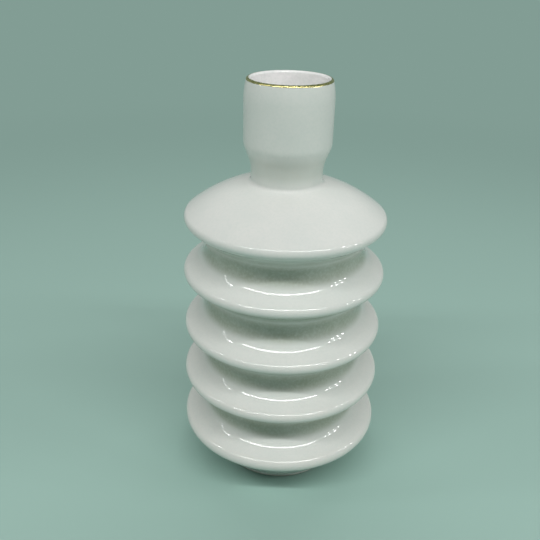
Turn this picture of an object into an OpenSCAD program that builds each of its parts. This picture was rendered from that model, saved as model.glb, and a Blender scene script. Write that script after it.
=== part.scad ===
// Ribbed vase: a stack of five round discs with a domed shoulder and a cupped neck.
// Millimetres, +Z up. The origin is the centre of the foot, on the surface that the vase stands on.
// Every outline is half a section, drawn as [radius, height] and turned about the axis.

/* [Overall] */
// Height from the foot to the top of the lip.
overall_height = 200; // [190:1:215]

/* [Stacked discs] */
// Radius of the widest disc, the lowest one.
disc_radius = 50.8; // [46:0.1:56]
// Roundness of the rim of each disc above the lowest.
disc_edge_radius = 3.1; // [2:0.1:3.6]
// Roundness of the rim of the lowest disc, which is fuller.
base_edge_radius = 3.6; // [2:0.1:4.2]
// Radius of the body at the bottom of each groove.
waist_radius = 38.5; // [34:0.5:42]
// Height of the lowest disc's rim.
lowest_disc_height = 24.3; // [20:0.1:30]

/* [Shoulder] */
// Radius of the dome that closes the body above the highest disc.
dome_radius = 76; // [66:1:90]
// Roundness of the corner between the dome and the neck.
neck_fillet_radius = 2; // [1.5:0.1:4]

/* [Neck] */
// Height from the corner with the shoulder to the top of the lip. The discs take up the rest.
neck_height = 45; // [40:0.5:54]
// Radius of the stem of the neck, just above the shoulder.
stem_radius = 16.7; // [14:0.1:18.5]
// Straight length of the stem.
stem_length = 2.5; // [1:0.5:5]
// Radius of the cup of the neck.
cup_radius = 20.3; // [19:0.1:23]
// Height from the start of the flare to the start of the cup's straight wall.
flare_height = 15.2; // [12:0.2:22]
// How far the cup curves inward up to the lip.
lip_draw = 1.3; // [0.4:0.1:1.6]

/* [Walls] */
// Thickness of the clay, about the same all over.
clay_wall = 2.6; // [2:0.1:3.2]
// Thickness of each coat of glaze.
glaze_coat = 0.35; // [0.2:0.05:0.5]
// Thickness of the clay and the outer coat at the rim of a disc, where the clay fills the edge.
edge_wall = 4.8; // [3.8:0.1:6]
// Roundness of each disc's hollow, at its edge.
inner_edge_radius = 1.5; // [0.8:0.1:2]
// Thickness of the clay floor.
floor_wall = 3; // [2:0.1:5]
// Roundness where the floor meets the wall, inside.
floor_fillet = 5; // [2:0.5:8]

/* [Foot] */
// Radius of the foot.
foot_radius = 31; // [28:0.5:36]
// Height of the foot's upright side.
foot_wall_height = 1.8; // [1.4:0.1:3]
// Height of the bare clay below the outer glaze.
bare_foot_height = 1; // [0.5:0.1:1.2]
// Width of the ring that the vase stands on.
foot_ring_width = 4.5; // [3:0.5:7]
// Roundness of the edges of that ring.
foot_edge_radius = 0.5; // [0.2:0.1:0.5]
// Depth of the hollow under the base.
base_recess = 1.6; // [0.8:0.1:3]

/* [Gold line] */
// Thickness of the gold, more than the real one's so that it is a solid.
gilt_thickness = 0.1; // [0.05:0.01:0.15]
// How far up over the lip the gold reaches, in degrees from level.
gilt_top_angle = 95; // [60:1:120]

/* [Hidden] */
// The piece to build: one of these names, or all of them.
$fn = 96;

// The discs are a little uneven. Each one's radius, lowest first, as a share of the widest,
disc_radius_shares = [1, 0.986, 0.97, 0.965, 0.946];
// and the place of its rim in the run from the lowest to the highest.
disc_height_shares = [0, 0.255, 0.496, 0.754, 1];
// How much of the room between two rims the round of a groove takes up.
groove_fill_share = 0.96;
// How much of the flare is curved, and the cup's lower corner's part of that.
flare_curve_share = 0.94;
corner_share = 0.32;
// The part of the cup's straight height, at its top, that curves inward.
lip_draw_share = 0.35;
// Most turn between two points of a curve, in degrees, and most distance between them.
arc_turn = 9;
arc_chord = 4;
// Slope of the side of the hollow under the base.
recess_slope = 45;
// Points closer together than this are one point.
least_edge = 0.01;

last_disc = len(disc_radius_shares) - 1;
wall = glaze_coat + clay_wall;

// Points on an arc about c, from angle a to angle b.
function arc(c, r, a, b) =
    let (
        sweep = b - a,
        n = max(1, ceil(abs(sweep) / arc_turn), ceil(abs(sweep) * PI / 180 * r / arc_chord))
    )
    [for (i = [0:n]) c + r * [cos(a + sweep * i / n), sin(a + sweep * i / n)]];

function reversed(points) = [for (i = [len(points) - 1:-1:0]) points[i]];

function turn(v) = atan2(v[1], v[0]);

// The rims of the discs. inside is true for the hollow, false for the outer face.
function disc_r(k) = disc_radius * disc_radius_shares[k];
function disc_z(k) = lowest_disc_height + disc_run * disc_height_shares[k];
function outer_edge(k) = k == 0 ? base_edge_radius : disc_edge_radius;
function edge_r(k, inside) = inside ? inner_edge_radius : outer_edge(k);
function edge_centre(k, inside) = [
    !inside ? disc_r(k) - outer_edge(k)
    : k == 0 ? base_centre_r
    : k == last_disc ? dome_centre_r
    : disc_r(k) - edge_wall - inner_edge_radius,
    disc_z(k)
];

// The dome is centred on the axis. It runs up into the round corner at the foot of the neck,
fillet_r = stem_radius + neck_fillet_radius;
fillet_z = overall_height - neck_height;
dome_z = fillet_z - sqrt(pow(dome_radius + neck_fillet_radius, 2) - pow(fillet_r, 2));
fillet_angle = turn([fillet_r, fillet_z - dome_z]);
// and down into the highest rim, which sets the height of the stack.
top_rim_r = disc_r(last_disc) - disc_edge_radius;
top_rim_rise = sqrt(pow(dome_radius - disc_edge_radius, 2) - pow(top_rim_r, 2));
disc_run = dome_z + top_rim_rise - lowest_disc_height;
dome_centre_r = sqrt(pow(dome_radius - wall - inner_edge_radius, 2) - pow(top_rim_rise, 2));

// The underside runs straight from the lowest rim to the top of the foot's side.
base_rim = edge_centre(0, false);
to_foot = [foot_radius, foot_wall_height] - base_rim;
under_angle = turn(to_foot) + acos(base_edge_radius / norm(to_foot));
base_centre_r = base_rim[0] + (base_edge_radius - wall - inner_edge_radius) / cos(under_angle);

// The grooves: a round that touches the waist and nearly fills the room between two rims.
function waist_r(inside) = waist_radius - (inside ? wall : 0);
function groove_z(j) = (disc_z(j) + outer_edge(j) + disc_z(j + 1) - outer_edge(j + 1)) / 2;
function groove_room(j, k, inside) =
    let (
        rim = edge_centre(k, inside),
        reach = waist_r(inside) - rim[0],
        e = edge_r(k, inside)
    )
    (pow(reach, 2) + pow(groove_z(j) - rim[1], 2) - pow(e, 2)) / (2 * (e - reach));
function groove_r(j, inside) =
    groove_fill_share * min(groove_room(j, j, inside), groove_room(j, j + 1, inside));
function groove_centre(j, inside) = [waist_r(inside) + groove_r(j, inside), groove_z(j)];

// The direction that a flank faces, where it runs from rim k to groove j without a kink.
function flank(j, k, inside) =
    let (
        v = groove_centre(j, inside) - edge_centre(k, inside),
        lean = acos((groove_r(j, inside) + edge_r(k, inside)) / norm(v))
    )
    turn(v) + (j < k ? lean : -lean);
function lower_angle(k, inside) = k == 0 ? under_angle : flank(k - 1, k, inside);
function upper_angle(k, inside) =
    k == last_disc ? turn(edge_centre(k, inside) - [0, dome_z]) : flank(k, k, inside);

// The stack from the underside to the start of the dome, moved into the wall by inset.
function stack(inside, inset) = [
    for (k = [0:last_disc])
        each concat(
            arc(
                edge_centre(k, inside),
                edge_r(k, inside) - inset,
                lower_angle(k, inside),
                upper_angle(k, inside)
            ),
            k == last_disc ? [] : arc(
                groove_centre(k, inside),
                groove_r(k, inside) + inset,
                upper_angle(k, inside) + 180,
                lower_angle(k + 1, inside) + 180
            )
        )
];

// The neck sits where the dome meets the side of its stem.
seat_angle = acos((stem_radius - glaze_coat) / (dome_radius - glaze_coat));
seat_z = dome_z + (dome_radius - glaze_coat) * sin(seat_angle);
inner_seat_angle = 180 + asin((fillet_z - seat_z) / (neck_fillet_radius + wall));

// The flare of the neck: a bend and a corner, joined by their common tangent.
flare_reach = cup_radius - stem_radius;
flare_curve =
    flare_curve_share * (pow(flare_reach, 2) + pow(flare_height, 2)) / (2 * flare_reach);
corner_radius = flare_curve * corner_share;
bend_radius = flare_curve - corner_radius;
bend_centre = [stem_radius + bend_radius, fillet_z + stem_length];
corner_centre = [cup_radius - corner_radius, bend_centre[1] + flare_height];
to_bend = bend_centre - corner_centre;
flare_angle = turn(to_bend) + acos(flare_curve / norm(to_bend));

// The lip: a full round between the bore of the cup and the curve of its outer face.
bore_r = cup_radius - wall - glaze_coat;
draw_height = (overall_height - corner_centre[1]) * lip_draw_share;
lip_draw_radius = (pow(draw_height, 2) + pow(lip_draw, 2)) / (2 * lip_draw);
draw_centre = [cup_radius - lip_draw_radius, overall_height - draw_height];
lip_span = bore_r - draw_centre[0];
lip_sum = lip_span - draw_height + lip_draw_radius;
lip_r = sqrt(
    pow(lip_sum, 2) - pow(lip_span, 2) - pow(draw_height, 2) + pow(lip_draw_radius, 2)
) - lip_sum;
lip_centre = [bore_r + lip_r, overall_height - lip_r];
lip_angle = turn(lip_centre - draw_centre);

// The curves above the stack, each at a depth in the wall.
function dome(depth, a, b) = arc([0, dome_z], dome_radius - depth, a, b);
function shoulder(inside, depth) = dome(depth, upper_angle(last_disc, inside), fillet_angle);
function corner_fillet(depth, a, b) =
    arc([fillet_r, fillet_z], neck_fillet_radius + depth, a, b);
function flare(depth) = concat(
    arc(bend_centre, bend_radius + depth, 180, 180 + flare_angle),
    arc(corner_centre, corner_radius - depth, flare_angle, 0)
);
function cup_top(depth) = arc(draw_centre, lip_draw_radius - depth, 0, lip_angle);
function lip(depth, a, b) = arc(lip_centre, lip_r - depth, a, b);

// The foot, and the floor inside, which is a fillet's width from the underside's inner face.
foot_outer_r = foot_radius - glaze_coat;
foot_inner_r = foot_outer_r - foot_ring_width;
foot_edge_reach = foot_edge_radius * tan(recess_slope / 2);
function foot_top(depth) =
    base_rim[1] + (
        base_edge_radius - depth - (foot_radius - depth - base_rim[0]) * cos(under_angle)
    ) / sin(under_angle);
floor_z = base_recess + floor_wall;
floor_centre_z = floor_z + floor_fillet;
floor_centre_r = base_centre_r + (
    inner_edge_radius - floor_fillet - (floor_centre_z - disc_z(0)) * sin(under_angle)
) / cos(under_angle);
function floor_line(inset) = concat(
    [[0, floor_z + inset]],
    arc([floor_centre_r, floor_centre_z], floor_fillet - inset, -90, under_angle)
);

// Whole outlines of the four faces of the wall, from bottom to top.
function outer_line(depth) = concat(
    stack(false, depth),
    shoulder(false, depth),
    corner_fillet(depth, fillet_angle + 180, 180),
    flare(depth),
    cup_top(depth)
);
function inner_line(inset) = concat(
    floor_line(inset),
    stack(true, inset),
    shoulder(true, wall + inset),
    corner_fillet(wall + inset, fillet_angle + 180, 180),
    flare(wall + inset)
);

module revolve(points) {
    last = len(points) - 1;
    rotate_extrude()
        polygon([
            for (i = [0:last])
                if (norm(points[i] - points[i == 0 ? last : i - 1]) > least_edge) points[i]
        ]);
}

// Cast clay: the foot, the five discs and the shoulder, cut level where the neck sits.
module ribbed_body() {
    outside = concat(
        [[0, base_recess], [foot_inner_r - base_recess / tan(recess_slope), base_recess]],
        arc(
            [foot_inner_r + foot_edge_reach, foot_edge_radius],
            foot_edge_radius,
            -90 - recess_slope,
            -90
        ),
        arc([foot_outer_r - foot_edge_radius, foot_edge_radius], foot_edge_radius, -90, 0),
        [[foot_outer_r, foot_top(glaze_coat)]],
        stack(false, glaze_coat),
        shoulder(false, glaze_coat),
        dome(glaze_coat, fillet_angle, seat_angle)
    );
    inside = concat(
        floor_line(0),
        stack(true, 0),
        shoulder(true, wall),
        corner_fillet(wall, fillet_angle + 180, inner_seat_angle)
    );
    color("Tan") revolve(concat(outside, reversed(inside)));
}

// Clay stem and cup, with a full round lip.
module neck() {
    outside = concat(
        [[stem_radius - glaze_coat, seat_z]],
        flare(glaze_coat),
        cup_top(glaze_coat),
        lip(glaze_coat, lip_angle, 180)
    );
    inside = concat(corner_fillet(wall, inner_seat_angle, 180), flare(wall));
    color("BurlyWood") revolve(concat(outside, reversed(inside)));
}

// Slip pressed into the corner outside the seat of the neck.
module neck_joint() {
    color("Peru")
        revolve(concat(
            dome(glaze_coat, seat_angle, fillet_angle),
            corner_fillet(glaze_coat, fillet_angle + 180, 180)
        ));
}

// Glaze over the outside, from above the foot to the far edge of the gold, with a seat for it.
module outer_glaze() {
    face = concat(
        [[foot_radius, bare_foot_height], [foot_radius, foot_wall_height]],
        outer_line(0),
        lip(gilt_thickness, lip_angle, gilt_top_angle)
    );
    back = concat(
        [[foot_outer_r, bare_foot_height], [foot_outer_r, foot_top(glaze_coat)]],
        outer_line(glaze_coat),
        lip(glaze_coat, lip_angle, gilt_top_angle)
    );
    color("AliceBlue") revolve(concat(face, reversed(back)));
}

// Glaze over the inside, from the floor to the far edge of the gold.
module inner_glaze() {
    face = concat(inner_line(glaze_coat), lip(0, 180, gilt_top_angle));
    back = concat(inner_line(0), lip(glaze_coat, 180, gilt_top_angle));
    color("Azure") revolve(concat(back, reversed(face)));
}

// Gold painted round the lip, from its outer edge to just past its top.
module gilt_line() {
    color("Gold")
        revolve(concat(
            lip(0, lip_angle, gilt_top_angle),
            reversed(lip(gilt_thickness, lip_angle, gilt_top_angle))
        ));
}

ribbed_body();
neck();
neck_joint();
outer_glaze();
inner_glaze();
gilt_line();
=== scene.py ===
"""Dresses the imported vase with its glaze, its bare clay foot and its gold line, in a plain studio.

Every size is in metres. Sections are drawn as (radius, height) and turned about the vertical axis.
"""

from math import acos, atan2, ceil, cos, degrees, hypot, radians, sin, sqrt
from typing import NamedTuple

import bmesh
import bpy
from bpy.props import FloatProperty, FloatVectorProperty, PointerProperty
from mathutils import Matrix, Vector


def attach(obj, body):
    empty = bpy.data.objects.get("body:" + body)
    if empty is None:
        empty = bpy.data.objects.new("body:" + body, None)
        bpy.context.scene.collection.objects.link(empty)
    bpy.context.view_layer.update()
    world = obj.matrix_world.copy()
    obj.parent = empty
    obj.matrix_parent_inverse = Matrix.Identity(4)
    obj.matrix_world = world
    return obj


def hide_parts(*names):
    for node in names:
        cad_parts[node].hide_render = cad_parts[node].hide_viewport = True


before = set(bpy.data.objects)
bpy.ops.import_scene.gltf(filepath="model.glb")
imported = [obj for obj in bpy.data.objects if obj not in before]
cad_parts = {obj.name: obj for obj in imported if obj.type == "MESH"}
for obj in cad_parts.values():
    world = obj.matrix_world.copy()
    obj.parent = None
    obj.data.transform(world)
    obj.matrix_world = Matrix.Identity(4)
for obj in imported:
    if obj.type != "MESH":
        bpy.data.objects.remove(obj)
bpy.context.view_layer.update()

bl_info = {
    "name": "Ribbed vase",
    "version": (1, 0, 0),
    "blender": (4, 5, 0),
    "location": "3D View > Sidebar > Vase",
    "description": "Glaze, bare clay, gold line and studio for a vase of stacked discs",
    "category": "Object",
}

MM = 0.001

# The discs, lowest first: radius as a share of the widest, and place in the run of rims.
DISC_RADIUS_SHARES = (1, 0.986, 0.97, 0.965, 0.946)
DISC_HEIGHT_SHARES = (0, 0.255, 0.496, 0.754, 1)
TOP_DISC = len(DISC_RADIUS_SHARES) - 1
GROOVE_FILL_SHARE = 0.96
FLARE_CURVE_SHARE = 0.94
CORNER_SHARE = 0.32
LIP_DRAW_SHARE = 0.35

# Steps of every curve, and of every turn about the axis.
ARC_TURN = radians(5)
ARC_CHORD = 1.5 * MM
SPIN_STEPS = 144
SAME_POINT = 0.002 * MM
SMOOTH_ANGLE = radians(40)

# The floor is a disc with many sides.
FLOOR_RADIUS = 8
FLOOR_SIDES = 128
FLOOR_ROUGHNESS = 0.6
# The nearest and the farthest that the camera sees.
CLIP_NEAR = 0.01
CLIP_FAR = 50


class Lamp(NamedTuple):
    """A flat lamp that faces the vase, by its place seen from there, in metres and degrees."""

    name: str
    side: float
    rise: float
    width: float
    depth: float
    watts: float
    shows: bool


# Soft lamps light the vase and don't show in the glaze. Narrow ones leave its highlights.
LAMPS = (
    Lamp("key", 0, 60, 1.5, 0.35, 0.8, False),
    Lamp("front_fill", 0, 25, 0.55, 0.55, 0.4, False),
    Lamp("left_fill", -75, 25, 0.55, 0.55, 0.9, False),
    Lamp("right_fill", 75, 25, 0.55, 0.55, 0.95, False),
    Lamp("back_fill", 180, 50, 1.6, 0.55, 5.4, False),
    Lamp("tube", 0, 59, 1.8, 0.035, 9.4, True),
    Lamp("left_strip", -82, 28, 0.02, 0.6, 0.42, True),
    Lamp("left_spot", -79, 42, 0.06, 0.06, 0.35, True),
    Lamp("right_spot_1", 69, 31, 0.035, 0.035, 0.27, True),
    Lamp("right_spot_2", 72, 21, 0.035, 0.035, 0.27, True),
    Lamp("right_spot_3", 76, 28, 0.035, 0.035, 0.33, True),
    Lamp("right_spot_4", 80, 18, 0.035, 0.035, 0.27, True),
    Lamp("right_spot_5", 84, 25, 0.035, 0.035, 0.33, True),
    Lamp("right_spot_6", 88, 15, 0.035, 0.035, 0.27, True),
)


class GLAZE:
    """Places and sizes of the marks in the glaze, in metres. Patches: size, low, high, detail."""

    # Deep in the grooves the pooled colour is thick glaze and painted shade. Under the discs and in
    # the stem's hollow it is painted shade.
    groove_pool_and_shade = (38.5 * MM, 41 * MM)
    groove_heights = (33 * MM, 130 * MM, 2 * MM)
    groove_fall = 1.35
    under_shade_slope = (-0.75, -0.15)
    under_shade_share = 0.9
    stem_shade_heights = (157.5 * MM, 167 * MM, 2.5 * MM)
    stem_shade_share = 0.28
    # The inside floor, in the pooled colour: thick glaze with painted shade.
    floor_heights = (-1 * MM, 9 * MM, 3 * MM)
    thin_rim = (47.2 * MM, 50 * MM)
    thin_share = 0.35
    mottle = (14 * MM, 0.35, 0.75, 3.0)
    mottle_share = 0.35
    grain = (1.2 * MM, 0.4, 0.75, 3.0)
    grain_share = 0.35
    pinhole = (1.2 * MM, 0.79, 0.83, 0.0)
    pinhole_depth = 0.006 * MM
    gloss_patch = (9 * MM, 0.3, 0.7, 2.0)
    roughness = (0.05, 0.1)
    wave = (11 * MM, 0.0, 1.0, 1.0)
    wave_height = 0.008 * MM
    peel = (2.6 * MM, 0.0, 1.0, 1.0)
    peel_height = 0.0015 * MM
    ior = 1.52


class CLAY:
    """The same of the bare clay."""

    coarse = (7 * MM, 0.35, 0.7, 3.0)
    fine = (0.8 * MM, 0.35, 0.7, 4.0)
    fine_share = 0.6
    grit = (1.1 * MM, 0.7, 0.76, 0.0)
    toast_heights = (0.3 * MM, 3 * MM, 0.35 * MM)
    toast_rim = (29.6 * MM, 30.5 * MM)
    rubbed_heights = (-1 * MM, 0.12 * MM, 0.15 * MM)
    rubbed_share = 0.5
    roughness = (0.9, 0.62)
    fine_height = 0.05 * MM
    grit_height = 0.04 * MM


class GOLD:
    """The same of the gold."""

    patch = (2.4 * MM, 0.35, 0.65, 3.0)
    sound_heights = (199.25 * MM, 199.95 * MM, 0.12 * MM)
    stroke = (0.5 * MM, 0.3, 0.8, 2.0)
    stroke_share = 0.35
    stroke_height = 0.004 * MM
    roughness = (0.2, 0.36)


def length(name, millimetres, description):
    """A size in metres, given in millimetres."""
    return FloatProperty(
        name=name,
        description=description,
        default=millimetres * MM,
        min=0,
        precision=5,
        unit="LENGTH",
    )


def colour(name, default, description):
    """A colour in linear light."""
    return FloatVectorProperty(
        name=name, description=description, default=default, min=0, max=1, subtype="COLOR"
    )


class VaseSizes(bpy.types.PropertyGroup):
    """Sizes of the vase, the same as those of its solids."""

    overall_height: length("Height", 200, "From the foot to the top of the lip")
    disc_radius: length("Disc radius", 50.8, "Radius of the widest disc")
    disc_edge: length("Disc edge", 3.1, "Roundness of the rim of each disc above the lowest")
    base_edge: length("Base edge", 3.6, "Roundness of the rim of the lowest disc")
    waist_radius: length("Waist radius", 38.5, "Radius at the bottom of each groove")
    lowest_disc: length("Lowest disc", 24.3, "Height of the lowest disc's rim")
    dome_radius: length("Dome radius", 76, "Radius of the dome of the shoulder")
    neck_fillet: length("Neck fillet", 2, "Roundness of the corner below the neck")
    neck_height: length("Neck height", 45, "From that corner to the top of the lip")
    stem_radius: length("Stem radius", 16.7, "Radius of the stem of the neck")
    stem_length: length("Stem length", 2.5, "Straight length of the stem")
    cup_radius: length("Cup radius", 20.3, "Radius of the cup of the neck")
    flare_height: length("Flare height", 15.2, "From the stem to the cup's straight wall")
    lip_draw: length("Lip draw", 1.3, "How far the cup curves inward up to the lip")
    clay_wall: length("Clay wall", 2.6, "Thickness of the clay")
    glaze_coat: length("Glaze coat", 0.35, "Thickness of each coat of glaze")
    edge_wall: length("Edge wall", 4.8, "Thickness of the clay and outer coat at a rim")
    inner_edge: length("Inner edge", 1.5, "Roundness of a disc's hollow at its edge")
    floor_wall: length("Floor wall", 3, "Thickness of the clay floor")
    floor_fillet: length("Floor fillet", 5, "Roundness where the floor meets the wall")
    foot_radius: length("Foot radius", 31, "Radius of the foot")
    foot_wall: length("Foot wall", 1.8, "Height of the foot's upright side")
    bare_foot: length("Bare foot", 1, "Height of the bare clay below the glaze")
    base_recess: length("Base recess", 1.6, "Depth of the hollow under the base")
    gilt: length("Gold", 0.1, "Thickness of the gold line")
    gilt_top: FloatProperty(
        name="Gold reach",
        description="How far up over the lip the gold goes",
        default=radians(95),
        subtype="ANGLE",
    )
    ripple: length("Ripple", 0.03, "How uneven the glaze is, from its lowest to its highest")
    ripple_width: length("Ripple width", 22, "Width of the uneven patches of glaze")


class VaseColours(bpy.types.PropertyGroup):
    """Colours of the vase and of the studio."""

    glaze: colour("Glaze", (0.76, 0.775, 0.735), "The white glaze outside")
    # Whiter than the outside glaze: partly a whiter liner glaze, partly painted light inside the
    # mouth.
    liner_with_painted_light: colour("Liner", (0.94, 0.93, 0.92), "The white glaze inside")
    # Darker, greener glaze colour: thick glaze, and also painted shade in the grooves, under the
    # discs, in the stem's hollow and on the inside floor.
    pooled_glaze_and_shade: colour("Pooled glaze", (0.39, 0.425, 0.335), "The glaze where it lies thick")
    thin: colour("Thin glaze", (0.74, 0.73, 0.67), "The glaze where it runs thin on a rim")
    mottle: colour("Mottled glaze", (0.66, 0.71, 0.67), "The darker patches of the glaze")
    speck: colour("Speck", (0.30, 0.27, 0.20), "Grit in the clay")
    clay: colour("Clay", (0.64, 0.63, 0.56), "The bare clay of the foot")
    dark_clay: colour("Dark clay", (0.54, 0.51, 0.43), "The clay where it was fired harder")
    pale_clay: colour("Pale clay", (0.70, 0.67, 0.60), "The grains, and where the foot is rubbed")
    toasted: colour("Toasted clay", (0.50, 0.45, 0.36), "The clay where the glaze stops")
    gold: colour("Gold", (0.70, 0.59, 0.25), "The gold line")
    worn_gold: colour("Worn gold", (0.56, 0.50, 0.30), "The gold where it is thin")
    floor: colour("Floor", (0.34, 0.51, 0.45), "The floor")
    sky: colour("Surroundings", (0.38, 0.52, 0.47), "What the glaze mirrors")


class VaseStudio(bpy.types.PropertyGroup):
    """The lamps and the camera."""

    power: FloatProperty(
        name="Power", description="Power of all the lamps, as a share of theirs", default=1.05
    )
    soft_distance: length("Soft lamps", 1200, "From the vase to each soft lamp")
    narrow_distance: length("Narrow lamps", 1100, "From the vase to each narrow lamp")
    lamp_target: length("Lamp target", 90, "Height that the lamps face")
    surroundings: FloatProperty(
        name="Surroundings", description="Strength of what the glaze mirrors", default=0.5, min=0
    )
    plain_from: length("Plain from", 300, "Where the floor starts to even out")
    plain_to: length("Plain to", 900, "Where the floor is one plain colour")
    plain_level: FloatProperty(
        name="Plain level", description="Brightness of the floor far off", default=0.66, min=0
    )
    lens: FloatProperty(
        name="Lens", description="Focal length in millimetres", default=43.5, min=1
    )
    eye_distance: length("Camera distance", 290.35, "How far in front of the axis it stands")
    eye_height: length("Camera height", 251.62, "How far above the floor it stands")
    pitch: FloatProperty(
        name="Pitch", description="Tilt down", default=radians(26.572), subtype="ANGLE"
    )
    yaw: FloatProperty(
        name="Yaw", description="Turn to the right", default=radians(-1.327), subtype="ANGLE"
    )
    roll: FloatProperty(
        name="Roll", description="Turn about the view", default=radians(1.338), subtype="ANGLE"
    )


# Outlines -----------------------------------------------------------------------------------


def on_circle(centre, radius, angle):
    """The point on a circle at an angle in degrees."""
    turn = radians(angle)
    return (centre[0] + radius * cos(turn), centre[1] + radius * sin(turn))


def corner(radius, height):
    """A sharp corner of a section, as an arc of no size."""
    return ((radius, height), 0, 0, 0)


def backwards(arcs):
    """The same arcs, from the last to the first."""
    return [(centre, radius, end, start) for centre, radius, start, end in reversed(arcs)]


def direction(start, end):
    """The angle of the way from one point to another, in degrees."""
    return degrees(atan2(end[1] - start[1], end[0] - start[0]))


def span(start, end):
    """The distance between two points."""
    return hypot(end[0] - start[0], end[1] - start[1])


class Outline:
    """The faces of the wall, as arcs of (centre, radius, start, end), joined by straight lines.

    Angles are in degrees. Each part can be drawn at a depth below its face.
    """

    def __init__(self, s):
        self.s = s
        self.wall = s.glaze_coat + s.clay_wall
        self.set_dome()
        self.set_underside()
        self.set_neck()
        self.set_lip()

    def set_dome(self):
        s = self.s
        fillet_r = s.stem_radius + s.neck_fillet
        self.fillet = (fillet_r, s.overall_height - s.neck_height)
        rise = sqrt((s.dome_radius + s.neck_fillet) ** 2 - fillet_r**2)
        self.dome = (0, self.fillet[1] - rise)
        self.fillet_angle = direction(self.dome, self.fillet)
        rim_r = s.disc_radius * DISC_RADIUS_SHARES[TOP_DISC] - s.disc_edge
        rim_rise = sqrt((s.dome_radius - s.disc_edge) ** 2 - rim_r**2)
        self.disc_run = self.dome[1] + rim_rise - s.lowest_disc
        inner = s.dome_radius - self.wall - s.inner_edge
        self.dome_centre_r = sqrt(inner**2 - rim_rise**2)

    def set_underside(self):
        s = self.s
        self.base_rim = (s.disc_radius - s.base_edge, s.lowest_disc)
        foot = (s.foot_radius, s.foot_wall)
        lean = acos(s.base_edge / span(self.base_rim, foot))
        self.under_angle = direction(self.base_rim, foot) + degrees(lean)
        under = radians(self.under_angle)
        self.base_centre_r = self.base_rim[0] + (
            s.base_edge - self.wall - s.inner_edge
        ) / cos(under)
        height = s.base_recess + s.floor_wall + s.floor_fillet
        reach = s.inner_edge - s.floor_fillet - (height - s.lowest_disc) * sin(under)
        self.floor_corner = (self.base_centre_r + reach / cos(under), height)

    def set_neck(self):
        s = self.s
        reach = s.cup_radius - s.stem_radius
        curve = FLARE_CURVE_SHARE * (reach**2 + s.flare_height**2) / (2 * reach)
        self.corner_r = curve * CORNER_SHARE
        self.bend_r = curve - self.corner_r
        self.bend = (s.stem_radius + self.bend_r, self.fillet[1] + s.stem_length)
        self.corner = (s.cup_radius - self.corner_r, self.bend[1] + s.flare_height)
        lean = acos(curve / span(self.corner, self.bend))
        self.flare_angle = direction(self.corner, self.bend) + degrees(lean)

    def set_lip(self):
        s = self.s
        bore = s.cup_radius - self.wall - s.glaze_coat
        height = (s.overall_height - self.corner[1]) * LIP_DRAW_SHARE
        self.draw_r = (height**2 + s.lip_draw**2) / (2 * s.lip_draw)
        self.draw = (s.cup_radius - self.draw_r, s.overall_height - height)
        across = bore - self.draw[0]
        total = across - height + self.draw_r
        self.lip_r = sqrt(total**2 - across**2 - height**2 + self.draw_r**2) - total
        self.lip_centre = (bore + self.lip_r, s.overall_height - self.lip_r)
        self.lip_angle = direction(self.draw, self.lip_centre)

    def edge_r(self, disc, inside):
        if inside:
            return self.s.inner_edge
        return self.s.disc_edge if disc else self.s.base_edge

    def edge(self, disc, inside):
        """The centre of the round rim of a disc, on its outer face or in its hollow."""
        s = self.s
        height = s.lowest_disc + self.disc_run * DISC_HEIGHT_SHARES[disc]
        radius = s.disc_radius * DISC_RADIUS_SHARES[disc]
        if not inside:
            return (radius - self.edge_r(disc, False), height)
        if disc == 0:
            return (self.base_centre_r, height)
        if disc == TOP_DISC:
            return (self.dome_centre_r, height)
        return (radius - s.edge_wall - s.inner_edge, height)

    def groove(self, low, inside):
        """The centre and radius of the groove above a disc."""
        bottom, top = self.edge(low, False), self.edge(low + 1, False)
        height = (bottom[1] + self.edge_r(low, False) + top[1] - self.edge_r(low + 1, False)) / 2
        waist = self.s.waist_radius - (self.wall if inside else 0)
        rooms = []
        for disc in (low, low + 1):
            rim, e = self.edge(disc, inside), self.edge_r(disc, inside)
            reach = waist - rim[0]
            rooms.append((reach**2 + (height - rim[1]) ** 2 - e**2) / (2 * (e - reach)))
        radius = GROOVE_FILL_SHARE * min(rooms)
        return (waist + radius, height), radius

    def flank(self, low, disc, inside):
        """The way that the straight flank between a groove and a rim faces, in degrees."""
        centre, radius = self.groove(low, inside)
        rim = self.edge(disc, inside)
        lean = degrees(acos((radius + self.edge_r(disc, inside)) / span(rim, centre)))
        return direction(rim, centre) + (lean if low < disc else -lean)

    def lower_angle(self, disc, inside):
        return self.flank(disc - 1, disc, inside) if disc else self.under_angle

    def upper_angle(self, disc, inside):
        if disc == TOP_DISC:
            return direction(self.dome, self.edge(disc, inside))
        return self.flank(disc, disc, inside)

    def stack(self, inside, depth):
        """The discs and the grooves between them."""
        arcs = []
        for disc in range(TOP_DISC + 1):
            rim, radius = self.edge(disc, inside), self.edge_r(disc, inside) - depth
            upper = self.upper_angle(disc, inside)
            arcs.append((rim, radius, self.lower_angle(disc, inside), upper))
            if disc < TOP_DISC:
                centre, radius = self.groove(disc, inside)
                lower = self.lower_angle(disc + 1, inside)
                arcs.append((centre, radius + depth, upper + 180, lower + 180))
        return arcs

    def above(self, inside, depth):
        """The shoulder, the corner below the neck, and the neck as far as the cup's wall."""
        s = self.s
        start = self.upper_angle(TOP_DISC, inside)
        return [
            (self.dome, s.dome_radius - depth, start, self.fillet_angle),
            (self.fillet, s.neck_fillet + depth, self.fillet_angle + 180, 180),
            (self.bend, self.bend_r + depth, 180, 180 + self.flare_angle),
            (self.corner, self.corner_r - depth, self.flare_angle, 0),
        ]

    def lip(self, depth, start, end):
        return [(self.lip_centre, self.lip_r - depth, start, end)]

    def foot_top(self, depth):
        """The height where the underside meets the side of the foot."""
        under = radians(self.under_angle)
        reach = self.s.foot_radius - depth - self.base_rim[0]
        return self.base_rim[1] + (self.s.base_edge - depth - reach * cos(under)) / sin(under)

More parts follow.
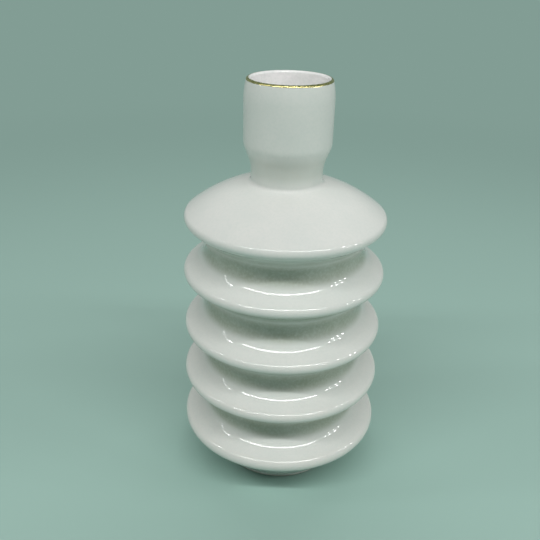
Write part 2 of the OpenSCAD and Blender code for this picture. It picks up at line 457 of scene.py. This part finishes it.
    def outer(self, depth):
        """The outer face, from the underside of the lowest disc to the lip."""
        cup_top = (self.draw, self.draw_r - depth, 0, self.lip_angle)
        return self.stack(False, depth) + self.above(False, depth) + [cup_top]

    def inner(self, depth):
        """The inner face, from the floor to the top of the bore, at a depth off the clay."""
        centre, radius = self.floor_corner, self.s.floor_fillet - depth
        floor = [corner(0, centre[1] - radius), (centre, radius, -90, self.under_angle)]
        return floor + self.stack(True, depth) + self.above(True, self.wall + depth)


# Modelling ----------------------------------------------------------------------------------


def deselect():
    """Nothing is selected, so that a new primitive is worked on by itself."""
    if bpy.context.object and bpy.context.object.mode != "OBJECT":
        bpy.ops.object.mode_set(mode="OBJECT")
    bpy.ops.object.select_all(action="DESELECT")


def spin_section(name, section):
    """Draws a closed half section arc by arc and spins it about the axis."""
    deselect()
    bpy.ops.mesh.primitive_plane_add(size=MM, location=(0, 0, 0))
    piece = bpy.context.object
    piece.name = piece.data.name = name
    bpy.ops.object.mode_set(mode="EDIT")
    bpy.ops.mesh.select_all(action="SELECT")
    bpy.ops.mesh.merge(type="CENTER")
    first = on_circle(*section[0][:3])
    here = first
    bpy.ops.transform.translate(value=(here[0], 0, here[1]))
    for centre, radius, start, end in section + [corner(*first)]:
        there = on_circle(centre, radius, start)
        if span(here, there) > SAME_POINT:
            step = (there[0] - here[0], 0, there[1] - here[1])
            bpy.ops.mesh.extrude_region_move(TRANSFORM_OT_translate={"value": step})
        sweep = abs(radians(end - start))
        if radius > 0 and sweep > 0:
            bpy.ops.mesh.spin(
                steps=max(ceil(sweep / ARC_TURN), ceil(sweep * radius / ARC_CHORD)),
                angle=radians(end - start),
                center=(centre[0], 0, centre[1]),
                axis=(0, 1, 0),
            )
        here = on_circle(centre, radius, end)
    bpy.ops.mesh.select_all(action="SELECT")
    bpy.ops.mesh.remove_doubles(threshold=SAME_POINT)
    bpy.ops.object.mode_set(mode="OBJECT")
    bpy.ops.object.modifier_add(type="SCREW")
    turn = piece.modifiers[-1]
    turn.steps = turn.render_steps = SPIN_STEPS
    turn.use_merge_vertices = True
    turn.merge_threshold = SAME_POINT
    bpy.ops.object.modifier_apply(modifier=turn.name)
    bpy.ops.object.mode_set(mode="EDIT")
    bpy.ops.mesh.select_all(action="SELECT")
    bpy.ops.mesh.remove_doubles(threshold=SAME_POINT)
    bpy.ops.mesh.delete_loose(use_verts=False, use_edges=True, use_faces=False)
    bpy.ops.mesh.select_all(action="SELECT")
    bpy.ops.mesh.normals_make_consistent(inside=False)
    if bmesh.from_edit_mesh(piece.data).calc_volume(signed=True) < 0:
        bpy.ops.mesh.flip_normals()
    bpy.ops.object.mode_set(mode="OBJECT")
    return piece


def ripple(piece, sizes):
    """Makes a coat of glaze slightly uneven, the same where two coats meet."""
    texture = bpy.data.textures.get("glaze_ripple")
    if texture is None:
        texture = bpy.data.textures.new("glaze_ripple", "CLOUDS")
        texture.noise_scale = sizes.ripple_width
        texture.noise_depth = 1
    bpy.ops.object.modifier_add(type="DISPLACE")
    modifier = piece.modifiers[-1]
    modifier.texture = texture
    modifier.texture_coords = "LOCAL"
    modifier.strength = sizes.ripple
    modifier.mid_level = 0.5
    bpy.ops.object.modifier_apply(modifier=modifier.name)


def finish_piece(piece, material, slot, *nodes):
    """Shades a piece, gives it its material and puts it in place of its solids."""
    bpy.ops.object.shade_smooth_by_angle(angle=SMOOTH_ANGLE)
    piece.data.materials.clear()
    piece.data.materials.append(material)
    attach(piece, "root")
    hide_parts(*nodes)


# Materials ----------------------------------------------------------------------------------


def new_material(name):
    """A material with a Principled shader, and the tools to wire it."""
    material = bpy.data.materials.new(name)
    material.use_nodes = True
    tree = material.node_tree
    return material, tree, tree.nodes["Principled BSDF"]


def add(tree, kind, **values):
    """A node with some of its inputs and settings given by name."""
    node = tree.nodes.new(kind)
    for key, value in values.items():
        if key in node.inputs:
            node.inputs[key].default_value = value
        else:
            setattr(node, key, value)
    return node


def ramp(tree, value, low, high, start=0.0, end=1.0):
    """Turns a value that goes from low to high into one that goes smoothly from start to end."""
    node = add(tree, "ShaderNodeMapRange", interpolation_type="SMOOTHSTEP")
    tree.links.new(value, node.inputs["Value"])
    for name, number in (("From Min", low), ("From Max", high), ("To Min", start), ("To Max", end)):
        node.inputs[name].default_value = number
    return node.outputs["Result"]


def new_group(name, inputs, outputs):
    """An empty node group of plain values, with its inputs' defaults, and its two ends."""
    group = bpy.data.node_groups.new(name, "ShaderNodeTree")
    for title, default in inputs.items():
        socket = group.interface.new_socket(
            title, in_out="INPUT", socket_type="NodeSocketFloat"
        )
        socket.default_value = default
    for title in outputs:
        group.interface.new_socket(title, in_out="OUTPUT", socket_type="NodeSocketFloat")
    ends = (group.nodes.new("NodeGroupInput"), group.nodes.new("NodeGroupOutput"))
    return group, *ends


def clouds_group():
    """Soft patches of a given size, from 0 to 1."""
    name = "clouds"
    if name in bpy.data.node_groups:
        return bpy.data.node_groups[name]
    inputs = {"Scale": 100.0, "Detail": 2.0, "Low": 0.3, "High": 0.7}
    group, given, made = new_group(name, inputs, ["Mask"])
    link = group.links.new
    noise = add(group, "ShaderNodeTexNoise")
    link(add(group, "ShaderNodeTexCoord").outputs["Object"], noise.inputs["Vector"])
    link(given.outputs["Scale"], noise.inputs["Scale"])
    link(given.outputs["Detail"], noise.inputs["Detail"])
    spread = add(group, "ShaderNodeMapRange", clamp=True)
    link(noise.outputs["Fac"], spread.inputs["Value"])
    link(given.outputs["Low"], spread.inputs["From Min"])
    link(given.outputs["High"], spread.inputs["From Max"])
    link(spread.outputs["Result"], made.inputs["Mask"])
    return group


def place_group():
    """The distance from the vase's axis and the height, in metres."""
    name = "place_on_vase"
    if name in bpy.data.node_groups:
        return bpy.data.node_groups[name]
    group, _, made = new_group(name, {}, ["Radius", "Height"])
    link = group.links.new
    place = add(group, "ShaderNodeTexCoord").outputs["Object"]
    split = add(group, "ShaderNodeSeparateXYZ")
    link(place, split.inputs["Vector"])
    link(split.outputs["Z"], made.inputs["Height"])
    flat = add(group, "ShaderNodeVectorMath", operation="MULTIPLY")
    flat.inputs[1].default_value = (1, 1, 0)
    link(place, flat.inputs[0])
    reach = add(group, "ShaderNodeVectorMath", operation="LENGTH")
    link(flat.outputs["Vector"], reach.inputs[0])
    link(reach.outputs["Value"], made.inputs["Radius"])
    return group


def band_group():
    """1 where a value lies between two ends, with a soft step at each."""
    name = "band"
    if name in bpy.data.node_groups:
        return bpy.data.node_groups[name]
    inputs = {"Value": 0.0, "From": 0.0, "To": 1.0, "Soft": 0.1}
    group, given, made = new_group(name, inputs, ["Mask"])
    link = group.links.new
    steps = []
    for end in ("From", "To"):
        past = add(group, "ShaderNodeMath", operation="SUBTRACT")
        link(given.outputs["Value"], past.inputs[0])
        link(given.outputs[end], past.inputs[1])
        scaled = add(group, "ShaderNodeMath", operation="DIVIDE")
        link(past.outputs["Value"], scaled.inputs[0])
        link(given.outputs["Soft"], scaled.inputs[1])
        steps.append(ramp(group, scaled.outputs["Value"], -1, 1))
    difference = add(group, "ShaderNodeMath", operation="SUBTRACT")
    link(steps[0], difference.inputs[0])
    link(steps[1], difference.inputs[1])
    link(difference.outputs["Value"], made.inputs["Mask"])
    return group


def place(tree, group, **values):
    """A node group placed in a material, with some of its inputs given by name."""
    node = tree.nodes.new("ShaderNodeGroup")
    node.node_tree = group
    for name, value in values.items():
        node.inputs[name].default_value = value
    return node


def clouds(tree, size, low, high, detail=2.0):
    """Patches of a size in metres."""
    node = place(tree, clouds_group(), Scale=1 / size, Detail=detail, Low=low, High=high)
    return node.outputs["Mask"]


def band(tree, value, start, end, soft):
    """A mask of the places where a value lies between two ends."""
    node = place(tree, band_group(), From=start, To=end, Soft=soft)
    tree.links.new(value, node.inputs["Value"])
    return node.outputs["Mask"]


def calculate(tree, operation, first, second):
    """One step of arithmetic on a value, with another value or a number."""
    node = add(tree, "ShaderNodeMath", operation=operation)
    tree.links.new(first, node.inputs[0])
    if isinstance(second, (int, float)):
        node.inputs[1].default_value = second
    else:
        tree.links.new(second, node.inputs[1])
    return node.outputs["Value"]


def tint(tree, base, shade, mask):
    """Turns a colour towards another one by a mask."""
    mix = add(tree, "ShaderNodeMix", data_type="RGBA", clamp_factor=True)
    if isinstance(base, bpy.types.NodeSocket):
        tree.links.new(base, mix.inputs["A"])
    else:
        mix.inputs["A"].default_value = (*base, 1)
    mix.inputs["B"].default_value = (*shade, 1)
    tree.links.new(mask, mix.inputs["Factor"])
    return mix.outputs["Result"]


def relief(tree, shader, *layers):
    """Feeds the normal from layers of bumps, each a mask and its height in metres."""
    below = None
    for mask, height in layers:
        bump = add(tree, "ShaderNodeBump", Strength=1.0, Distance=height)
        tree.links.new(mask, bump.inputs["Height"])
        if below:
            tree.links.new(below, bump.inputs["Normal"])
        below = bump.outputs["Normal"]
    tree.links.new(below, shader.inputs["Normal"])


def glaze_material(name, colours, base, pool_and_shade):
    """Glossy glaze over pale clay. The pool mask marks where it lies thick and where shade is
    painted into its colour.
    """
    material, tree, shader = new_material(name)
    link = tree.links.new
    spot = place(tree, place_group())
    radius, height = spot.outputs["Radius"], spot.outputs["Height"]
    # The pooled colour, as thick glaze and as painted shade.
    shade = tint(tree, base, colours.pooled_glaze_and_shade, pool_and_shade(tree, radius, height))
    thin = ramp(tree, radius, *GLAZE.thin_rim, 0, GLAZE.thin_share)
    shade = tint(tree, shade, colours.thin, thin)
    mottle = calculate(tree, "MULTIPLY", clouds(tree, *GLAZE.mottle), GLAZE.mottle_share)
    shade = tint(tree, shade, colours.mottle, mottle)
    grain = calculate(tree, "MULTIPLY", clouds(tree, *GLAZE.grain), GLAZE.grain_share)
    shade = tint(tree, shade, colours.mottle, grain)
    link(shade, shader.inputs["Base Color"])
    gloss = clouds(tree, *GLAZE.gloss_patch)
    link(ramp(tree, gloss, 0, 1, *GLAZE.roughness), shader.inputs["Roughness"])
    relief(
        tree,
        shader,
        (clouds(tree, *GLAZE.wave), GLAZE.wave_height),
        (clouds(tree, *GLAZE.peel), GLAZE.peel_height),
        (clouds(tree, *GLAZE.pinhole), -GLAZE.pinhole_depth),
    )
    shader.inputs["IOR"].default_value = GLAZE.ior
    return material


def outer_pool_and_shade(tree, radius, height):
    """Thick glaze with painted shade in the grooves, painted shade on faces turned down under the
    discs, and less painted shade in the hollow of the stem.
    """
    deep = calculate(tree, "POWER", ramp(tree, radius, *GLAZE.groove_pool_and_shade, 1, 0), GLAZE.groove_fall)
    # Painted shade on faces that turn down.
    facing = add(tree, "ShaderNodeSeparateXYZ")
    tree.links.new(add(tree, "ShaderNodeTexCoord").outputs["Normal"], facing.inputs["Vector"])
    under = ramp(tree, facing.outputs["Z"], *GLAZE.under_shade_slope, GLAZE.under_shade_share, 0)
    thick = calculate(tree, "MAXIMUM", deep, under)
    groove = calculate(tree, "MULTIPLY", thick, band(tree, height, *GLAZE.groove_heights))
    # Painted shade in the hollow of the stem.
    stem = calculate(
        tree, "MULTIPLY", band(tree, height, *GLAZE.stem_shade_heights), GLAZE.stem_shade_share
    )
    return calculate(tree, "MAXIMUM", groove, stem)


def inner_pool_and_shade(tree, radius, height):
    """Thick glaze with painted shade on the floor of the vase."""
    return band(tree, height, *GLAZE.floor_heights)


def clay_material(colours):
    """Bare fired clay: grainy, toasted where the glaze stops, rubbed where it stands."""
    material, tree, shader = new_material("bare_clay")
    link = tree.links.new
    spot = place(tree, place_group())
    radius, height = spot.outputs["Radius"], spot.outputs["Height"]
    coarse, fine = clouds(tree, *CLAY.coarse), clouds(tree, *CLAY.fine)
    shade = tint(tree, colours.clay, colours.dark_clay, coarse)
    grains = calculate(tree, "MULTIPLY", fine, CLAY.fine_share)
    shade = tint(tree, shade, colours.pale_clay, grains)
    toast = calculate(tree, "MULTIPLY", band(tree, height, *CLAY.toast_heights), coarse)
    edge = ramp(tree, radius, *CLAY.toast_rim)
    shade = tint(tree, shade, colours.toasted, calculate(tree, "MULTIPLY", toast, edge))
    rubbed = band(tree, height, *CLAY.rubbed_heights)
    worn = calculate(tree, "MULTIPLY", rubbed, CLAY.rubbed_share)
    shade = tint(tree, shade, colours.pale_clay, worn)
    grit = clouds(tree, *CLAY.grit)
    shade = tint(tree, shade, colours.speck, grit)
    link(shade, shader.inputs["Base Color"])
    link(ramp(tree, rubbed, 0, 1, *CLAY.roughness), shader.inputs["Roughness"])
    relief(tree, shader, (fine, CLAY.fine_height), (grit, CLAY.grit_height))
    return material


def gold_material(colours):
    """Thin gold, brushed on by hand: patchy, and worn along its two edges."""
    material, tree, shader = new_material("gold_line")
    link = tree.links.new
    height = place(tree, place_group()).outputs["Height"]
    patches = clouds(tree, *GOLD.patch)
    body = band(tree, height, *GOLD.sound_heights)
    worn = calculate(tree, "MAXIMUM", calculate(tree, "SUBTRACT", patches, body), 0)
    shade = tint(tree, colours.gold, colours.worn_gold, worn)
    strokes = calculate(tree, "MULTIPLY", clouds(tree, *GOLD.stroke), GOLD.stroke_share)
    shade = tint(tree, shade, colours.worn_gold, strokes)
    link(shade, shader.inputs["Base Color"])
    link(ramp(tree, patches, 0, 1, *GOLD.roughness), shader.inputs["Roughness"])
    relief(tree, shader, (clouds(tree, *GOLD.stroke), GOLD.stroke_height))
    shader.inputs["Metallic"].default_value = 1.0
    return material


# Operators ----------------------------------------------------------------------------------


class VASE_OT_outer_glaze(bpy.types.Operator):
    """Coats the outside with glaze, from above the foot to the top of the lip"""

    bl_idname = "vase.outer_glaze"
    bl_label = "Outer glaze"

    def execute(self, context):
        s = context.scene.vase_sizes
        line = Outline(s)
        coat, top = s.glaze_coat, degrees(s.gilt_top)
        face = (
            [corner(s.foot_radius, s.bare_foot), corner(s.foot_radius, s.foot_wall)]
            + line.outer(0)
            + line.lip(s.gilt, line.lip_angle, top)
        )
        clay_r = s.foot_radius - coat
        back = (
            [corner(clay_r, s.bare_foot), corner(clay_r, line.foot_top(coat))]
            + line.outer(coat)
            + line.lip(coat, line.lip_angle, top)
        )
        piece = spin_section("outer_glaze_coat", face + backwards(back))
        ripple(piece, s)
        colours = context.scene.vase_colours
        material = glaze_material("white_glaze", colours, colours.glaze, outer_pool_and_shade)
        finish_piece(piece, material, "white_glaze", "outer_glaze")
        return {"FINISHED"}


class VASE_OT_inner_glaze(bpy.types.Operator):
    """Coats the inside with glaze, from the floor to the top of the lip"""

    bl_idname = "vase.inner_glaze"
    bl_label = "Inner glaze"

    def execute(self, context):
        s = context.scene.vase_sizes
        line = Outline(s)
        coat, top = s.glaze_coat, degrees(s.gilt_top)
        face = line.inner(coat) + line.lip(0, 180, top)
        back = line.inner(0) + line.lip(coat, 180, top)
        piece = spin_section("inner_glaze_coat", face + backwards(back))
        ripple(piece, s)
        colours = context.scene.vase_colours
        # The inside glaze's colour holds painted light.
        material = glaze_material("white_liner", colours, colours.liner_with_painted_light, inner_pool_and_shade)
        finish_piece(piece, material, "white_glaze", "inner_glaze")
        return {"FINISHED"}


class VASE_OT_gold_line(bpy.types.Operator):
    """Paints the gold line round the outer edge of the lip"""

    bl_idname = "vase.gold_line"
    bl_label = "Gold line"

    def execute(self, context):
        s = context.scene.vase_sizes
        line = Outline(s)
        top = degrees(s.gilt_top)
        face = line.lip(0, line.lip_angle, top)
        back = line.lip(s.gilt, line.lip_angle, top)
        piece = spin_section("gold_line", face + backwards(back))
        finish_piece(
            piece, gold_material(context.scene.vase_colours), "gold_lustre", "gilt_line"
        )
        return {"FINISHED"}


class VASE_OT_clay(bpy.types.Operator):
    """Gives the clay pieces their bare, fired surface"""

    bl_idname = "vase.clay"
    bl_label = "Clay"

    def execute(self, context):
        material = clay_material(context.scene.vase_colours)
        for name in ("ribbed_body", "neck", "neck_joint"):
            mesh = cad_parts[name].data
            mesh.materials.clear()
            mesh.materials.append(material)
        return {"FINISHED"}


class VASE_OT_studio(bpy.types.Operator):
    """Sets up the floor, the surroundings, the lamps and the camera"""

    bl_idname = "vase.studio"
    bl_label = "Studio"

    def execute(self, context):
        studio = context.scene.vase_studio
        colours = context.scene.vase_colours
        self.add_floor(studio, colours)
        self.add_surroundings(context, studio, colours)
        for lamp in LAMPS:
            self.add_lamp(studio, lamp)
        self.add_camera(context, studio)
        context.scene.view_settings.view_transform = "Standard"
        return {"FINISHED"}

    def add_floor(self, studio, colours):
        """Adds a floor that keeps the shadow of the vase and is one plain colour far off."""
        deselect()
        bpy.ops.mesh.primitive_circle_add(
            vertices=FLOOR_SIDES, radius=FLOOR_RADIUS, fill_type="NGON"
        )
        floor = bpy.context.object
        floor.name = "floor"
        material, tree, shader = new_material("floor_paint")
        link = tree.links.new
        away = add(tree, "ShaderNodeVectorMath", operation="LENGTH")
        link(add(tree, "ShaderNodeTexCoord").outputs["Object"], away.inputs[0])
        fade = ramp(tree, away.outputs["Value"], studio.plain_from, studio.plain_to)
        path = add(tree, "ShaderNodeLightPath")
        seen = add(tree, "ShaderNodeMath", operation="MAXIMUM")
        link(path.outputs["Is Camera Ray"], seen.inputs[0])
        link(path.outputs["Is Glossy Ray"], seen.inputs[1])
        share = add(tree, "ShaderNodeMath", operation="MULTIPLY")
        link(fade, share.inputs[0])
        link(seen.outputs["Value"], share.inputs[1])
        plain = add(tree, "ShaderNodeEmission", Strength=studio.plain_level)
        plain.inputs["Color"].default_value = (*colours.floor, 1)
        mix = add(tree, "ShaderNodeMixShader")
        link(share.outputs["Value"], mix.inputs["Fac"])
        link(shader.outputs["BSDF"], mix.inputs[1])
        link(plain.outputs["Emission"], mix.inputs[2])
        link(mix.outputs["Shader"], tree.nodes["Material Output"].inputs["Surface"])
        shader.inputs["Base Color"].default_value = (*colours.floor, 1)
        shader.inputs["Roughness"].default_value = FLOOR_ROUGHNESS
        floor.data.materials.append(material)

    def add_surroundings(self, context, studio, colours):
        """Gives the glaze and the gold something plain to mirror."""
        world = bpy.data.worlds.new("surroundings")
        context.scene.world = world
        world.use_nodes = True
        world.cycles_visibility.diffuse = False
        background = world.node_tree.nodes["Background"]
        background.inputs["Color"].default_value = (*colours.sky, 1)
        background.inputs["Strength"].default_value = studio.surroundings

    def add_lamp(self, studio, lamp):
        deselect()
        side, rise = radians(lamp.side), radians(lamp.rise)
        away = Vector((sin(side) * cos(rise), -cos(side) * cos(rise), sin(rise)))
        target = Vector((0, 0, studio.lamp_target))
        distance = studio.narrow_distance if lamp.shows else studio.soft_distance
        bpy.ops.object.light_add(type="AREA", location=target + away * distance)
        light = bpy.context.object
        light.name = light.data.name = lamp.name
        light.data.shape = "RECTANGLE"
        light.data.size = lamp.width
        light.data.size_y = lamp.depth
        light.data.energy = lamp.watts * studio.power
        light.rotation_mode = "QUATERNION"
        light.rotation_quaternion = away.to_track_quat("Z", "Y")
        light.visible_camera = False
        light.visible_glossy = lamp.shows

    def add_camera(self, context, studio):
        deselect()
        bpy.ops.object.camera_add(location=(0, -studio.eye_distance, studio.eye_height))
        camera = bpy.context.object
        forward = Vector(
            (
                sin(studio.yaw) * cos(studio.pitch),
                cos(studio.yaw) * cos(studio.pitch),
                -sin(studio.pitch),
            )
        )
        level = Vector((cos(studio.yaw), -sin(studio.yaw), 0))
        upright = level.cross(forward)
        right = cos(studio.roll) * level + sin(studio.roll) * upright
        up = cos(studio.roll) * upright - sin(studio.roll) * level
        camera.rotation_mode = "QUATERNION"
        camera.rotation_quaternion = Matrix((right, up, -forward)).transposed().to_quaternion()
        camera.data.lens = studio.lens
        camera.data.clip_start = CLIP_NEAR
        camera.data.clip_end = CLIP_FAR
        context.scene.camera = camera


class VASE_PT_panel(bpy.types.Panel):
    """Lists the steps that dress the vase"""

    bl_idname = "VASE_PT_panel"
    bl_label = "Vase"
    bl_space_type = "VIEW_3D"
    bl_region_type = "UI"
    bl_category = "Vase"

    def draw(self, context):
        for step in STEPS:
            self.layout.operator(step.bl_idname)


STEPS = (
    VASE_OT_outer_glaze,
    VASE_OT_inner_glaze,
    VASE_OT_gold_line,
    VASE_OT_clay,
    VASE_OT_studio,
)
GROUPS = {"vase_sizes": VaseSizes, "vase_colours": VaseColours, "vase_studio": VaseStudio}
CLASSES = (*GROUPS.values(), *STEPS, VASE_PT_panel)


def register():
    for item in CLASSES:
        bpy.utils.register_class(item)
    for name, group in GROUPS.items():
        setattr(bpy.types.Scene, name, PointerProperty(type=group))


def unregister():
    for name in GROUPS:
        delattr(bpy.types.Scene, name)
    for item in reversed(CLASSES):
        bpy.utils.unregister_class(item)


def main():
    register()
    for step in STEPS:
        group, name = step.bl_idname.split(".")
        getattr(getattr(bpy.ops, group), name)()


if __name__ == "__main__":
    main()
